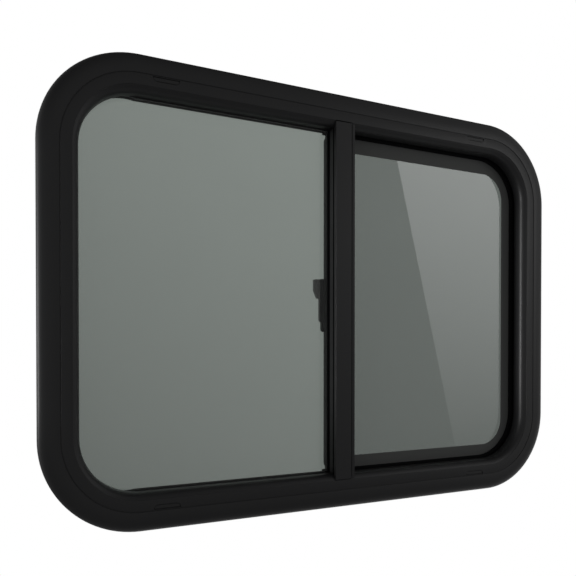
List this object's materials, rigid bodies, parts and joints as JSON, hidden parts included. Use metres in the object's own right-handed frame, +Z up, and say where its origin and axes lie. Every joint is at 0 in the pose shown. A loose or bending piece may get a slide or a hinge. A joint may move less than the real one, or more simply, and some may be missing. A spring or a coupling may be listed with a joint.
{
  "type": "caravan window",
  "caption": "Half sliding caravan window: rounded black aluminium frame, flat mullion, tinted fixed pane and a tinted sliding pane with a black border.",
  "frame": {"origin": "on the flat back of the flange, in the middle of its lower run", "axes": "+X to the right as seen from outside, +Y from outside to inside the vehicle, +Z up"},
  "size_m": [0.74, 0.05, 0.54],
  "materials": {
    "powder_coat_black": "fine satin powder coat",
    "mill_aluminium": "mill finish",
    "tinted_glass": "toughened, grey-green tint",
    "black_print": "fired ceramic print under glass",
    "black_rubber": "matt extruded rubber",
    "black_plastic": "moulded nylon"
  },
  "bodies": {
    "root": {"outer_frame": "powder_coat_black", "joining_plate": "mill_aluminium", "flange_seal": "black_rubber", "fixed_pane": "tinted_glass", "fixed_pane_gasket": "black_rubber", "mullion": "powder_coat_black", "mullion_gasket": "black_rubber", "mullion_brush": "black_rubber", "mullion_clip_top": "powder_coat_black", "mullion_clip_bottom": "powder_coat_black", "upper_lining": "black_plastic", "lower_lining": "black_plastic", "jamb_lining": "black_plastic", "upper_travel_stop": "black_rubber", "lower_travel_stop": "black_rubber", "sliding_pane": "tinted_glass", "pane_border": "black_print", "meeting_stile": "powder_coat_black", "latch_body": "black_plastic", "latch_thumb": "black_plastic", "drain_cap_top_left": "black_plastic", "drain_cap_top_right": "black_plastic", "drain_cap_bottom_left": "black_plastic", "drain_cap_bottom_right": "black_plastic"}
  },
  "joints": []
}
